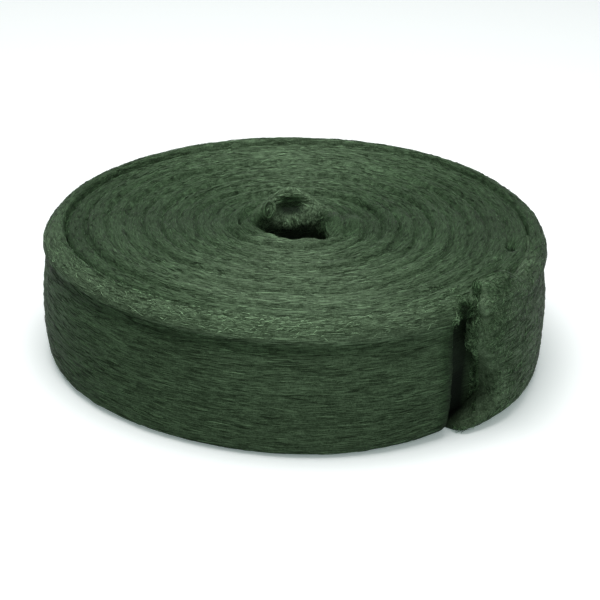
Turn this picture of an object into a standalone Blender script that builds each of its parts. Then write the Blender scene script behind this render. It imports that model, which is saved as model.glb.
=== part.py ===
"""Steel wool roll: one soft ribbon of steel wool, wound on itself and lying on its end.

Places along the ribbon are counted in turns from its loose outer end: 0 at the loose end, TURNS at
the inner end beside the core hole. The wound turns cling to each other, so they are one body with a
spiral groove between one turn and the next. The loose stretch of the ribbon is a bar of its own
section, bent round the body and joined to it where it comes to rest on the roll.
"""

import math

import bmesh
import bpy
from mathutils import Vector

# Driving dimensions, in metres and degrees
RIBBON_WIDTH = 0.100  # the ribbon stands on edge, so this is the roll's height
TURNS = 12
OUTER_RADIUS = 0.1915  # at the loose end
CORE_RADIUS = 0.029  # mean radius of the open core
PACKING = 0.19  # how much thinner than the mean a turn is packed beside the core
GROOVE_DEPTH = 0.0030  # of the groove between one turn and the next, on the upper face
FOOT_GROOVE_DEPTH = 0.0015

# Rounding of the ribbon's long edges
INNER_TURN_TOP_ROUND = 0.0036
INNER_TURN_FOOT_ROUND = 0.0015
OUTER_TURN_TOP_ROUND = 0.0115
OUTER_TURN_FOOT_ROUND = 0.0085

# The outermost turn's upper edge is a soft lip with a crease below it
CREASE_DROP = 0.0055  # from the end of the rounding down to the crease
LIP_OVERHANG = 0.0022
WALL_BULGE = 0.0020

# The loose end stands off the roll, and is thicker and taller than the rest
LOOSE_END_AZIMUTH = -50.0
LOOSE_LENGTH = 0.110  # how far back from the end the ribbon lies free
LOOSE_LIFT = 0.0035  # of its inner face, off the turn below
LOOSE_SWELL = 0.0020
LOOSE_RISE = 0.0110
END_THINNING = 0.0065  # the ribbon is thinner towards its outer end
END_THINNING_LENGTH = 0.250
TEAR_DEPTH = 0.018  # the tear's hollow, at about a third of the ribbon's width
TEAR_MIDDLE = 0.032
TEAR_SPREAD = 0.022
TEAR_RIPPLE = 0.003
TEAR_RIPPLE_LENGTH = 0.034
TIP_LENGTH = 0.0025  # the torn edge is rounded out by this much
SEAT_DEPTH = 0.0085  # how far the turn below is pressed in under the loose end
SEAT_LENGTH = 0.100
SEAT_APPROACH = 0.026
SEAT_FADING = 0.45  # what is left of the seat's depth one turn further in

# The core: its last turn is pulled up to a peak at the back, and its end is thinned out
PEAK_AZIMUTH = 96.0
PEAK_RISE = 0.0135
PEAK_SPREAD = 26.0
CORE_WAVES = ((2, 0.0024, math.pi), (3, 0.0013, -0.9))  # waves round, height, phase
CORE_END_LENGTH = 0.055  # over which the ribbon's inner end thins out to nothing

# Unevenness of a hand-packed roll
TURN_HEIGHT_STEP = 0.0011
TURN_HEIGHT_WAVES = (2.4, 1.7)  # radians a turn, so that no two turns rise together
OUTLINE_WAVES = ((2, 0.0032, 1.75), (3, 0.0028, 2.93))

# Fineness of the model
ROLL_STATIONS = 48
LOOSE_STATIONS = 12
GRIP_LENGTH = 0.030  # how far the loose stretch runs on inside the body that it is joined to
GRIP_DEPTH = 0.0015
LANDING = (0.45, 1.1)  # shares of the loose length between which the outermost turn grows to its size
TEAR_REACH = 0.6  # share of the loose length over which the tear's line is evened out

WOOL_COLOUR = (0.046, 0.078, 0.042, 1.0)
WOOL_ROUGHNESS = 0.62
WOOL_METALLIC = 0.35

CORNER = 1.0 - math.sqrt(0.5)  # how far a quarter round's middle stands in from its corner
CROWN = 0.0008  # how much higher a turn's middle is than its shoulders
WELD_DISTANCE = 0.00002
LARGEST_ROUND_SHARE = 0.8  # of a turn's thickness that its outer edge's rounding may take


def smooth_step(value, start, end):
    """0 before start, 1 after end, and an even curve between them."""
    share = min(1.0, max(0.0, (value - start) / (end - start)))
    return share * share * (3.0 - 2.0 * share)


def spiral_radius(turn):
    """Radius of an even spiral whose turns grow thicker from the core to the outside."""
    from_core = 1.0 - turn / (TURNS + 0.5)
    share = from_core * (1.0 - PACKING * (1.0 - from_core))
    return CORE_RADIUS + (OUTER_RADIUS - CORE_RADIUS) * share


def azimuth(turn):
    """Direction from the roll's centre, in radians. The ribbon runs anticlockwise into the roll."""
    return math.radians(LOOSE_END_AZIMUTH) + math.tau * turn


def turns_in(length):
    """A length along the outermost turn, counted in turns."""
    return length / (math.tau * OUTER_RADIUS)


def waves(angle, terms):
    """Sum of a few waves round the roll, each given by its count, its height and its phase."""
    return sum(height * math.cos(count * angle + phase) for count, height, phase in terms)


def out_of_round(turn):
    """The outline's slow wander, which grows towards the outside."""
    share = 1.0 - turn / (TURNS + 1.0)
    return share * waves(azimuth(turn), OUTLINE_WAVES)


def seat(turn):
    """Depth to which the turns under the loose end are pressed in. It fades towards the core."""
    under = round(turn)
    if under < 1:
        return 0.0
    reach = SEAT_APPROACH if turn < under else SEAT_LENGTH
    pressed = 1.0 - smooth_step(abs(turn - under), 0.0, turns_in(reach))
    return SEAT_DEPTH * SEAT_FADING ** (under - 1) * pressed


def core_wander(turn):
    """Uneven line of the core's wall, felt only by the last turns."""
    near = smooth_step(turn, TURNS - 1.0, TURNS + 0.5)
    return near * waves(azimuth(turn), CORE_WAVES)


def face_radius(turn):
    """Radius of the ribbon's outer face. The inner face follows the same line one turn further in."""
    thinning = END_THINNING * (1.0 - smooth_step(turn, 0.0, turns_in(END_THINNING_LENGTH)))
    return spiral_radius(turn) + out_of_round(turn) - seat(turn) + core_wander(turn) - thinning


def uncovered(turn):
    """1 where nothing lies over the ribbon's outer face, and 0 where another turn covers it."""
    hidden = turns_in(LOOSE_LENGTH)
    return 1.0 - smooth_step(turn, 1.0, 1.0 + hidden)


def lifted(turn):
    """1 at the loose end, and 0 where the ribbon lies on the roll again."""
    return 1.0 - smooth_step(turn, 0.0, turns_in(LOOSE_LENGTH))


def inner_face_radius(turn):
    """Radius of the ribbon's inner face: on the next turn's outer face, or lifted off it near the end."""
    return face_radius(turn + 1.0) + LOOSE_LIFT * lifted(turn)


def swelling(turn):
    """The loose end's swelling: highest a little behind the tip, which is rounded off."""
    from_end = turn / turns_in(LOOSE_LENGTH)
    return smooth_step(from_end, -0.15, 0.30) * (1.0 - smooth_step(from_end, 0.35, 1.0))


def top_height(turn):
    """Height of the ribbon's upper edge: uneven from turn to turn, and risen at both ends."""
    angle = azimuth(turn)
    slow, fast = TURN_HEIGHT_WAVES
    uneven = math.sin(slow * turn + 0.8) + 0.7 * math.sin(angle + fast * turn)
    off_peak = (math.degrees(angle) - PEAK_AZIMUTH + 180.0) % 360.0 - 180.0
    last_turn = smooth_step(turn, TURNS - 1.5, TURNS - 0.8)
    peak = PEAK_RISE * last_turn * math.exp(-((off_peak / PEAK_SPREAD) ** 2))
    return RIBBON_WIDTH + TURN_HEIGHT_STEP * uneven + LOOSE_RISE * swelling(turn) + peak


def fitting_round(inner_turn_round, outer_turn_round, turn):
    """Rounding of the outer edge at a turn: as wide as wanted, or as the turn's thickness has room for."""
    wanted = inner_turn_round + (outer_turn_round - inner_turn_round) * uncovered(turn)
    room = face_radius(turn) - inner_face_radius(turn) - inner_turn_round
    return min(wanted, LARGEST_ROUND_SHARE * room)


def top_round(turn):
    return fitting_round(INNER_TURN_TOP_ROUND, OUTER_TURN_TOP_ROUND, turn)


def foot_round(turn):
    return fitting_round(INNER_TURN_FOOT_ROUND, OUTER_TURN_FOOT_ROUND, turn)


def outer_face(radius, turn, top):
    """The ribbon's outer face where it is free: (radius, height) points from the foot up to the crown."""
    foot, shoulder = foot_round(turn), top_round(turn)
    crease = top - shoulder - CREASE_DROP
    third = (crease - foot) / 3.0
    return [
        (radius - foot, 0.0),
        (radius - CORNER * foot, CORNER * foot),
        (radius, foot),
        (radius + WALL_BULGE, foot + third),
        (radius + 0.8 * WALL_BULGE, foot + 2.0 * third),
        (radius - 0.5 * LIP_OVERHANG, crease),
        (radius + 0.5 * LIP_OVERHANG, top - shoulder),
        (radius - CORNER * shoulder, top - CORNER * shoulder),
        (radius - shoulder, top - CROWN),
    ]


def between(start, end, share):
    """The point at a share of the way from start to end."""
    return tuple(a + (b - a) * share for a, b in zip(start, end))


def groove_height(turn):
    """Height of the groove at the outer face of a turn, seen from above."""
    return min(top_height(turn - 1.0), top_height(turn)) - GROOVE_DEPTH


def turn_foot(turn):
    """Lower edge of one covered turn, from its inner groove outwards."""
    inner, outer = face_radius(turn + 1.0), face_radius(turn)
    return [
        (inner, FOOT_GROOVE_DEPTH),
        (inner + INNER_TURN_FOOT_ROUND, 0.0),
        (outer - foot_round(turn), 0.0),
    ]


def turn_top(turn):
    """Upper edge of one covered turn, from its outer shoulder inwards to its inner groove."""
    inner, outer, top = face_radius(turn + 1.0), face_radius(turn), top_height(turn)
    shoulder = outer - top_round(turn)
    inner_shoulder = inner + INNER_TURN_TOP_ROUND
    return [
        (shoulder, top - CROWN),
        (0.5 * (shoulder + inner_shoulder), top),
        (inner_shoulder, top - CROWN),
        (inner, groove_height(turn + 1.0)),
    ]


def roll_section(place):
    """Section through the wound turns at a place, 0 to 1, around the roll, anticlockwise from the core.

    The outermost turn grows out of the one below it where the loose stretch comes to rest, and the
    innermost turn thins out to nothing, so the section after a whole turn is the first one again.
    """
    landing = turns_in(LOOSE_LENGTH)
    grown = smooth_step(place, LANDING[0] * landing, LANDING[1] * landing)
    thinned = smooth_step(place, 1.0 - CORE_END_LENGTH / (math.tau * CORE_RADIUS), 1.0)
    feet = [turn_foot(place + k) for k in reversed(range(TURNS))]
    tops = [turn_top(place + k) for k in range(TURNS)]
    below = outer_face(face_radius(place + 1.0), place + 1.0, top_height(place + 1.0))
    face = outer_face(face_radius(place), place, top_height(place))
    face = [between(low, high, grown) for low, high in zip(below, face)]
    feet[-1] = [between(below[0], point, grown) for point in feet[-1][:2]]
    tops[0] = [between(below[-1], point, grown) for point in tops[0][1:]]
    last_foot, last_top = feet[1][0], tops[-2][-1]
    feet[0] = [between(point, last_foot, thinned) for point in feet[0]]
    tops[-1] = [between(point, last_top, thinned) for point in tops[-1]]
    core = [between(tops[-1][-1], feet[0][0], share) for share in (1.0 / 3.0, 2.0 / 3.0)]
    return sum(feet, []) + face + sum(tops, []) + core


def loose_section(turn):
    """Section of the loose stretch at a place along it: up its outer face and down its inner face."""
    gripped = smooth_step(turn, turns_in(LOOSE_LENGTH), turns_in(LOOSE_LENGTH + GRIP_LENGTH))
    sunk = GRIP_DEPTH * gripped
    top = top_height(turn) - sunk
    inner = inner_face_radius(turn)
    outer = face_radius(turn) + LOOSE_SWELL * swelling(turn) - sunk
    face = outer_face(outer, turn, top)
    back = [(inner, height) for _, height in reversed(face)]
    back[0] = (inner + INNER_TURN_TOP_ROUND, top - CROWN)
    back[-1] = (inner + INNER_TURN_FOOT_ROUND, 0.0)
    return [(radius, max(height, sunk)) for radius, height in face + back]


def flattened(section):
    """The section drawn in to its middle line, so that its outer and inner points meet in pairs."""
    return [between(near, far, 0.5) for near, far in zip(section, reversed(section))]


def torn_edge(height):
    """How far back along the ribbon the tear at the loose end lies, at a height."""
    hollow = TEAR_DEPTH * math.exp(-(((height - TEAR_MIDDLE) / TEAR_SPREAD) ** 2))
    return hollow + TEAR_RIPPLE * math.sin(math.tau * height / TEAR_RIPPLE_LENGTH + 0.5)


def around(turn, radius, height):
    """The place in the roll of a point of the section at a turn."""
    angle = azimuth(turn)
    return Vector((radius * math.cos(angle), radius * math.sin(angle), height))


def torn(turn, radius, height):
    """As around, with the end of the ribbon drawn back to the line of the tear."""
    near_end = 1.0 - smooth_step(turn, 0.0, TEAR_REACH * turns_in(LOOSE_LENGTH))
    return around(turn + turns_in(torn_edge(height)) * near_end, radius, height)


def bent_bar(sections, places, place_point):
    """A bar with one section after another along it, each point put in place by place_point.

    Its ends are open, and are closed by the points that meet there and are welded.
    """
    sides, last = len(sections[0]), len(sections) - 1
    bar = bmesh.new()
    bmesh.ops.create_cone(bar, segments=sides, radius1=1.0, radius2=1.0, depth=1.0)
    lengthwise = [e for e in bar.edges if abs(e.verts[0].co.z - e.verts[1].co.z) > 0.5]
    bmesh.ops.subdivide_edges(bar, edges=lengthwise, cuts=last - 1, use_grid_fill=True)
    for point in bar.verts:
        station = round((0.5 - point.co.z) * last)
        side = round(math.atan2(-point.co.x, point.co.y) / math.tau * sides) % sides
        point.co = place_point(places[station], *sections[station][side])
    bmesh.ops.remove_doubles(bar, verts=bar.verts, dist=WELD_DISTANCE)
    bmesh.ops.dissolve_degenerate(bar, edges=bar.edges, dist=WELD_DISTANCE)
    return bar


def centre_outline(mesh):
    """Puts the origin at the middle of the roll's outline, on the face it stands on."""
    xs = [v.co.x for v in mesh.vertices]
    ys = [v.co.y for v in mesh.vertices]
    middle = Vector(((min(xs) + max(xs)) / 2.0, (min(ys) + max(ys)) / 2.0, 0.0))
    for vertex in mesh.vertices:
        vertex.co -= middle


def wool_material():
    material = bpy.data.materials.new("steel_wool")
    material.use_nodes = True
    shader = material.node_tree.nodes["Principled BSDF"]
    shader.inputs["Base Color"].default_value = WOOL_COLOUR
    shader.inputs["Roughness"].default_value = WOOL_ROUGHNESS
    shader.inputs["Metallic"].default_value = WOOL_METALLIC
    material.diffuse_color = WOOL_COLOUR
    return material


def new_object(name, bar, collection):
    mesh = bpy.data.meshes.new(name)
    bar.to_mesh(mesh)
    bar.free()
    made = bpy.data.objects.new(name, mesh)
    collection.objects.link(made)
    return made


def wound_turns(collection):
    """The wound turns as one ring, whose two ends meet and are welded."""
    places = [i / ROLL_STATIONS for i in range(ROLL_STATIONS + 1)]
    ring = bent_bar([roll_section(place) for place in places], places, around)
    return new_object("wool_roll", ring, collection)


def loose_stretch(collection):
    """The loose end of the ribbon, as far as it has to run on to be joined to the roll."""
    length, tip = turns_in(LOOSE_LENGTH + GRIP_LENGTH), turns_in(TIP_LENGTH)
    places = [length * i / LOOSE_STATIONS for i in range(LOOSE_STATIONS + 1)]
    sections = [loose_section(place) for place in places]
    sections = [flattened(sections[0])] + sections + [flattened(sections[-1])]
    bar = bent_bar(sections, [-tip] + places + [length + tip], torn)
    return new_object("loose_stretch", bar, collection)


def join(roll, loose):
    """Unites the loose stretch with the roll and takes it away."""
    union = roll.modifiers.new("loose_stretch", "BOOLEAN")
    union.operation = "UNION"
    union.object = loose
    evaluated = roll.evaluated_get(bpy.context.evaluated_depsgraph_get())
    joined = bpy.data.meshes.new_from_object(evaluated)
    roll.modifiers.clear()
    roll.data = joined
    bpy.data.objects.remove(loose)


def wool_roll(collection):
    """The whole roll: its wound turns and the loose stretch of the same ribbon."""
    roll = wound_turns(collection)
    join(roll, loose_stretch(collection))
    mesh = roll.data
    centre_outline(mesh)
    mesh.shade_smooth()
    mesh.set_sharp_from_angle(angle=math.radians(50.0))
    mesh.materials.clear()
    mesh.materials.append(wool_material())
    return roll


def main():
    for old in list(bpy.data.objects):
        bpy.data.objects.remove(old)
    collection = bpy.data.collections.new("steel_wool_roll")
    bpy.context.scene.collection.children.link(collection)
    wool_roll(collection)


main()
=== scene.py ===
import math

import bmesh
import bpy
import numpy as np
from bpy.props import FloatProperty, FloatVectorProperty, PointerProperty
from mathutils import Matrix, Vector
from mathutils.bvhtree import BVHTree


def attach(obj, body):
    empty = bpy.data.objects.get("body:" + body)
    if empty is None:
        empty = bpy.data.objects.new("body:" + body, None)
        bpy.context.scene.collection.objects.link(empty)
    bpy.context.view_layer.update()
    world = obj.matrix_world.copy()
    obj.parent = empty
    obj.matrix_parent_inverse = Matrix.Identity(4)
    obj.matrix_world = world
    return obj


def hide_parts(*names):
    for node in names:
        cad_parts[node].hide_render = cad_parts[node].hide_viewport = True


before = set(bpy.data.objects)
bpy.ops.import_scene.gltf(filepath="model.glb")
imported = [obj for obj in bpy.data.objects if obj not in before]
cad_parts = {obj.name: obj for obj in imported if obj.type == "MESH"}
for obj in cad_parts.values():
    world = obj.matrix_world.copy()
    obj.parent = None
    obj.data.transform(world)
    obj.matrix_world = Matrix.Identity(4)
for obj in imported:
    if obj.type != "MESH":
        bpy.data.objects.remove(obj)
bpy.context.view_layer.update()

bl_info = {
    "name": "Steel Wool Roll",
    "version": (1, 0, 0),
    "blender": (4, 5, 0),
    "location": "3D View > Sidebar > Wool Roll",
    "description": "Dresses a wound ribbon of steel wool with fibres, and lights it on a pale floor",
    "category": "Object",
}

# The roll's form, mostly as in the part's source. Lengths are in metres and angles in degrees. A place
# is (azimuth, spread), a wave (count, height, phase) and a noise (seed, cells round, cell across, height)
RIBBON_WIDTH = 0.1
TURNS = 12
OUTER_RADIUS = 0.1915
CORE_RADIUS = 0.029
PACKING = 0.19
OUTLINE_WAVES = ((2, 0.0032, 1.75), (3, 0.0028, 2.93))
WALL_BULGE = 0.002
OUTER_TURN_TOP_ROUND = 0.0115
OUTER_TURN_FOOT_ROUND = 0.0085
FRONT_FOOT_ROUND = 0.0165
FRONT_FOOT_PLACE = (-48.0, 24.0)

# The crease below the outer turn's shoulder, and the lip over it
CREASE_DROP = 0.0055
CREASE_WAVES = ((1, 0.0022, 0.9 - 0.5 * math.pi), (3, 0.0012, -0.5 * math.pi))
LIP_OVERHANG = 0.0022
LEFT_LIP_OVERHANG = 0.0044
LEFT_LIP_PLACE = (245.0, 50.0)

# The turns' upper edges, and the grooves between them
TURN_HEIGHT_STEP = 0.0011
TURN_HEIGHT_WAVES = (2.4, 0.8, 0.7, 1.7)
TURN_CROWN = 0.001
GROOVE_DEPTH = 0.0021
GROOVE_WIDTH = 0.0015
GROOVE_NOISE = ((3, 97, 1.0, 0.0011), (4, 31, 1.0, 0.0008))
LEFT_GROOVE_DEPTH = 0.0026
LEFT_GROOVE_PLACE = (195.0, 38.0)
LEFT_GROOVE_TURNS = (1.9, 2.2)
FOOT_GROOVE_DEPTH = 0.0015
FOOT_GROOVE_WIDTH = 0.0018

# The core, the ribbon's end in it and the raised rim at its back
CORE_WAVES = ((2, 0.0024, math.pi), (3, 0.0013, -0.9))
CORE_HOLLOW = 0.0015
CORE_CROWDING = 1.7
CORE_END_LENGTH = 0.055
PEAK_PLACE = (96.0, 26.0)
PEAK_RISE = 0.0135
PEAK_TURNS = (TURNS - 1.5, TURNS - 0.8)

# The loose end: how it stands off, swells, rises, thins out and sinks into the turn below
LOOSE_END_AZIMUTH = -50.0
LOOSE_LENGTH = 0.11
LOOSE_LIFT = 0.0035
LOOSE_SWELL = 0.002
LOOSE_SWELL_LENGTHS = (-0.0165, 0.033, 0.0385, 0.11)
LOOSE_RISE = 0.0125
LOOSE_RISE_LENGTHS = (-0.005, 0.01, 0.034, 0.07)
LOOSE_OVERLAP = 1.35
LOOSE_CROWDING = 1.4
LOOSE_SINK = 0.0022
LOOSE_SINK_START = 0.75
LANDING = (0.45, 1.1)
END_THINNING = 0.0065
END_THINNING_LENGTH = 0.25
EDGE_THINNING = 0.003
EDGE_ROUNDS = (0.004, 0.006)
LEAST_THICKNESS = 0.001
TIP_ROUND = 0.007
TOE_REACH = 0.02
TOE_HEIGHTS = (0.004, 0.016)
TOE_LENGTH = 0.04

# The seat that is pressed in beside the loose end, and the wool that reaches out over its top
SEAT_DEPTH = 0.014
SEAT_LENGTH = 0.1
SEAT_APPROACH = 0.013
SEAT_FADING = 0.3
BRIM_SHARE = 0.8
BRIM_LENGTHS = (0.02, 0.045)
BRIM_DEPTHS = (0.008, 0.024)

# The tear at the loose end: (height, how far back along the ribbon the torn edge lies)
TEAR_LINE = (
    (0.0, -0.002), (0.005, -0.003), (0.009, 0.008), (0.014, 0.02), (0.022, 0.027), (0.034, 0.029),
    (0.044, 0.024), (0.052, 0.018), (0.063, 0.01), (0.073, 0.005), (0.082, 0.007), (0.089, 0.009),
    (0.098, 0.006), (0.112, 0.008),
)
TEAR_REACH = 0.6
TEAR_NOISE = ((11, 5, 0.005, 0.0028),)

# Where the soft wool has been pushed: (place, reach along x, y and z, push), in metres
SOFT_PUSHES = (
    ((0.001, -0.031, 0.1), (0.015, 0.014, 0.03), (0.0, 0.01, 0.0035)),
    ((0.031, 0.0, 0.1), (0.014, 0.022, 0.03), (-0.0095, 0.0, 0.001)),
    ((-0.03, -0.008, 0.1), (0.012, 0.012, 0.02), (-0.006, 0.0, 0.0)),
    ((-0.002, 0.026, 0.091), (0.019, 0.014, 0.0075), (0.0, -0.0145, 0.0)),
    ((0.043, -0.004, 0.104), (0.011, 0.015, 0.02), (-0.001, 0.0, 0.0055)),
    ((0.04, -0.022, 0.1), (0.005, 0.0018, 0.006), (0.0, 0.0, -0.0025)),
    ((-0.038, -0.131, 0.1), (0.013, 0.0018, 0.006), (0.0, 0.0, -0.005)),
    ((0.157, -0.042, 0.1), (0.0035, 0.008, 0.006), (0.0, 0.0, -0.007)),
    ((-0.026, 0.012, 0.104), (0.008, 0.01, 0.012), (0.003, -0.002, 0.005)),
    ((0.136, -0.127, 0.088), (0.03, 0.03, 0.021), (0.0034, -0.0032, 0.0)),
    ((0.132, -0.13, 0.036), (0.024, 0.024, 0.018), (-0.0026, 0.0026, 0.0)),
)

# How the wool stands out of its plain form, and how much rougher it is in the core and at the tip
SURFACE_NOISE = (
    (21, 60, 0.0024, 0.00016), (22, 34, 0.0052, 0.00016), (23, 46, 0.011, 0.00032), (24, 17, 0.03, 0.0007),
)
ROUGH_NOISE = ((25, 20, 0.006, 0.0011), (26, 9, 0.012, 0.0015))
ROUGH_CORE_RADII = (0.04, 0.062)
ROUGH_TIP_RADII = (0.155, 0.168)
ROUGH_TIP_SHARE = 0.25
ROUGH_TIP_PLACE = (-38.0, 15.0)
SMOOTH_FOOT_HEIGHTS = (0.0005, 0.006)

# The wool's tone, painted light and shade: on the top, its swing round the roll is a painted sheen (paler at
# the front and back, darker at the sides) and its lean paints it paler towards the front, and the wall's swing,
# lean and drop paint it darker down the wall
TOP_TONE = 1.09
SHEEN_SWING = 0.39
LIGHT_LEAN = (-0.03, -0.11)
WALL_LIGHT_AND_SHADE = (0.16, 0.08, 0.16)

# Zones of the wool. Each range says where along a coordinate the zone starts and where it is full
# The front left, where the crest's painted highlight and the painted shade beside it lie
FRONT_LEFT_LIGHT = (("x", 0.1, -0.02), ("y", 0.06, -0.02))
OUTER_TURN = ("radius", 0.166, 0.176)
WALL = (OUTER_TURN, ("z", 0.092, 0.08))
FRONT_RIGHT = ("x", 0.05, 0.05)
BEFORE_TIP = (("before_tip", 0.009, 0.009), ("before_tip", 0.024, 0.012))
CORE, VOID_CORE = ("radius", 0.036, 0.031), ("radius", 0.037, 0.031)
CORE_MIDDLE = (("x", -0.015, -0.008), ("x", 0.009, 0.002))

# What is added to the tone at the front left as painted light and shade: a painted highlight on the crest,
# painted shade in the valley inside it and a painted shadow in the crease below it
ADDED_LIGHT_AND_SHADE = (
    (0.42, (("radius", 0.166, 0.175), ("z", 0.08, 0.092), *FRONT_LEFT_LIGHT)),
    (-0.22, (("radius", 0.14, 0.16), ("radius", 0.176, 0.166), *FRONT_LEFT_LIGHT)),
    (-0.38, (OUTER_TURN, ("z", 0.074, 0.081), ("z", 0.092, 0.085), *FRONT_LEFT_LIGHT)),
)

# How the tone is scaled as painted light and shade: painted shade before the tip and under the core's raised
# rim, painted shade on the loose end's top, and painted light on the heap in the core
SCALED_LIGHT_AND_SHADE = (
    (-0.72, (*BEFORE_TIP, OUTER_TURN, FRONT_RIGHT, ("z", 0.092, 0.078))),
    (-0.75, (CORE, ("y", 0.01, 0.016), ("z", 0.0955, 0.099), ("z", 0.1105, 0.107), *CORE_MIDDLE)),
    (-0.28, (("z", 0.101, 0.107), FRONT_RIGHT)),
    (0.45, (CORE, ("y", 0.0, 0.012), ("z", 0.083, 0.09))),
)

# Painted shade in the voids, in a near-black colour of its own: beside the tip, down in the core and under its
# raised rim
VOID_SHADE_COLOUR = (0.004, 0.007, 0.0045)
VOID_RADII = (0.14, 0.178)
VOID_SHADES = (
    (1.0, (
        ("before_tip", -0.024, -0.014), ("before_tip", 0.024, 0.014), ("radius", 0.178, 0.171),
        ("radius", 0.14, 0.14), ("z", 0.096, 0.082), FRONT_RIGHT,
    )),
    (0.8, (VOID_CORE, ("z", 0.086, 0.072))),
    (0.8, (VOID_CORE, ("y", 0.012, 0.018), ("z", 0.094, 0.098), ("z", 0.109, 0.103), *CORE_MIDDLE)),
)

# Painted shade in small pits: place, half sizes along x, y and z, and how dark
PIT_SHADES = (
    ((0.157, -0.042, 0.096), (0.003, 0.007, 0.02), 0.8),
    ((0.04, -0.023, 0.1), (0.009, 0.0018, 0.02), 0.35),
    ((-0.038, -0.131, 0.1), (0.015, 0.0018, 0.02), 0.4),
    ((0.1165, -0.1415, 0.093), (0.006, 0.008, 0.0095), 0.85),
)
PIT_SHADE_EDGE = (1.0, 0.2)

# Noise drawn out along the winding: cell sizes along and across it, detail and roughness
STREAKS = (0.005, 0.0007, 3.0, 0.65)
BROAD_STREAKS = (0.04, 0.0038, 3.0, 0.6)
PATCHES = (0.06, 0.03, 2.0, 0.5)

# Noise that is alike in all directions: detail, roughness, scale and distortion
GRAIN = (2.0, 0.6, 1050.0, 0.0)
TANGLE = (3.0, 0.65, 260.0, 1.5)
CLOUDS = (2.0, 0.5, 60.0, 0.0)

# How the noises make up the wool's colour, bump and roughness
FINE_SHARE, BROAD_SHARE, PATCH_SHARE = 0.82, 0.08, 0.1
TONE_RANGE = (0.375, 0.63)
TONE_POWER = 1.7
# Greying of the paler tones: a painted grey sheen
SHEEN_GREYING = (0.6, 1.5, 0.78, 1.02)
BUMP_SHARES = (0.75, 0.25)
BUMP_DEPTH = 0.0011
ROUGHNESS_SWING = 0.3
FIBRE_SHARES = (0.85, 0.15)
FIBRE_POWER = 3.0

# The loop of wool at the core's mouth: its middle and its half axes
CURL_PLACE = (-0.0195, 0.0105, 0.1035)
CURL_WIDE = (0.0042, 0.0008, 0.0)
CURL_TALL = (0.0008, 0.0035, 0.0062)

# Where the fibres are laid
CREST_PLACE = (250.0, 34.0)
CREST_RADII = (0.166, 0.188)
WALL_HEIGHTS = (0.001, 0.11)
LOOSE_TURNED = (-5.0, 34.0)
LOOSE_HEIGHTS = (0.002, 0.118)
LOOSE_TILT = 24.0
TIP_SIDEWAYS = (-0.01, 0.026)
TIP_HEIGHTS = (0.03, 0.118)
TORN_DEPTHS = (-0.003, 0.016)
TORN_HEIGHTS = (0.002, 0.112)
CORE_HEIGHTS = (0.078, 0.112)
TUFT_CLUMPS = 16
TUFT_AZIMUTHS = (15.0, 180.0)
TUFT_HEIGHTS = (0.084, 0.098)
TUFT_SPREADS = (8.0, 0.0016)
RIM_HEIGHTS = (0.102, 0.1135)
RIM_PLACE = (96.0, 28.0)
LOWEST_FIBRE = 0.0006
FIBRE_ROOT = 0.00015
STRETCH_LIMIT = 1.8

# Fineness of the meshes
ROLL_STATIONS = 384
TURN_POINTS = 11
FOOT_POINTS, WALL_POINTS, CREASE_POINTS, SHOULDER_POINTS = 7, 14, 5, 11
CORE_POINTS = 26
LOOSE_STATIONS = 90
WELD_DISTANCE = 0.00002
FIBRE_POINTS = 5
NOISE_ROWS = 1024

# The surface maps that a bake of the materials goes through
MAP_NAME = "OFBake"
FOOT_SHARE = 0.3
FOOT_HEIGHT = 0.004
CELL_MARGIN = 0.06

# The studio: the floor, the lamps with their place, size and share of the key light's power, and the
# point that the camera looks at
FLOOR_HALF_SIZE = 6.0
FLOOR_LIT = (0.62, 0.66, 0.65)
FLOOR_GLOW = (0.15, 0.195, 0.19)
LAMPS = (("key", (-0.1, -0.15, 1.5), 1.2, 1.0), ("front", (0.5, -1.6, 0.9), 1.0, 0.11))
CAMERA_AIM = (0.0047, 0.0, 0.0352)


def smooth_step(value, start, end):
    """0 before start, 1 after end, and an even curve between them."""
    share = np.clip((value - start) / (end - start), 0.0, 1.0)
    return share * share * (3.0 - 2.0 * share)


def spiral_radius(turn):
    from_core = 1.0 - turn / (TURNS + 0.5)
    share = from_core * (1.0 - PACKING * (1.0 - from_core))
    return CORE_RADIUS + (OUTER_RADIUS - CORE_RADIUS) * share


def azimuth(turn):
    return math.radians(LOOSE_END_AZIMUTH) + math.tau * turn


def turns_in(length):
    """A length along the outermost turn, counted in turns."""
    return length / (math.tau * OUTER_RADIUS)


def waves(angle, terms):
    return sum(height * np.cos(count * angle + phase) for count, height, phase in terms)


def seat(turn):
    """Depth to which the turns under the loose end are pressed in."""
    under = np.round(turn)
    reach = np.where(turn < under, SEAT_APPROACH, SEAT_LENGTH)
    pressed = 1.0 - smooth_step(np.abs(turn - under), 0.0, turns_in(reach))
    return np.where(under < 1.0, 0.0, SEAT_DEPTH * SEAT_FADING ** (under - 1.0) * pressed)


def face_radius(turn):
    """Radius of the ribbon's outer face."""
    outline = (1.0 - turn / (TURNS + 1.0)) * waves(azimuth(turn), OUTLINE_WAVES)
    core = smooth_step(turn, TURNS - 1.0, TURNS + 0.5) * waves(azimuth(turn), CORE_WAVES)
    thinning = END_THINNING * (1.0 - smooth_step(turn, 0.0, turns_in(END_THINNING_LENGTH)))
    return spiral_radius(turn) + outline - seat(turn) + core - thinning


def uncovered(turn):
    """1 where nothing lies over the ribbon's outer face, and 0 where another turn covers it."""
    return 1.0 - smooth_step(turn, 1.0, 1.0 + turns_in(LOOSE_LENGTH))


def rise_and_fall(turn, lengths):
    """0, then 1 between the second and the third length behind the loose end's tip, and then 0 again."""
    behind = turn * math.tau * OUTER_RADIUS
    return smooth_step(behind, *lengths[:2]) * (1.0 - smooth_step(behind, *lengths[2:]))


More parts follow.
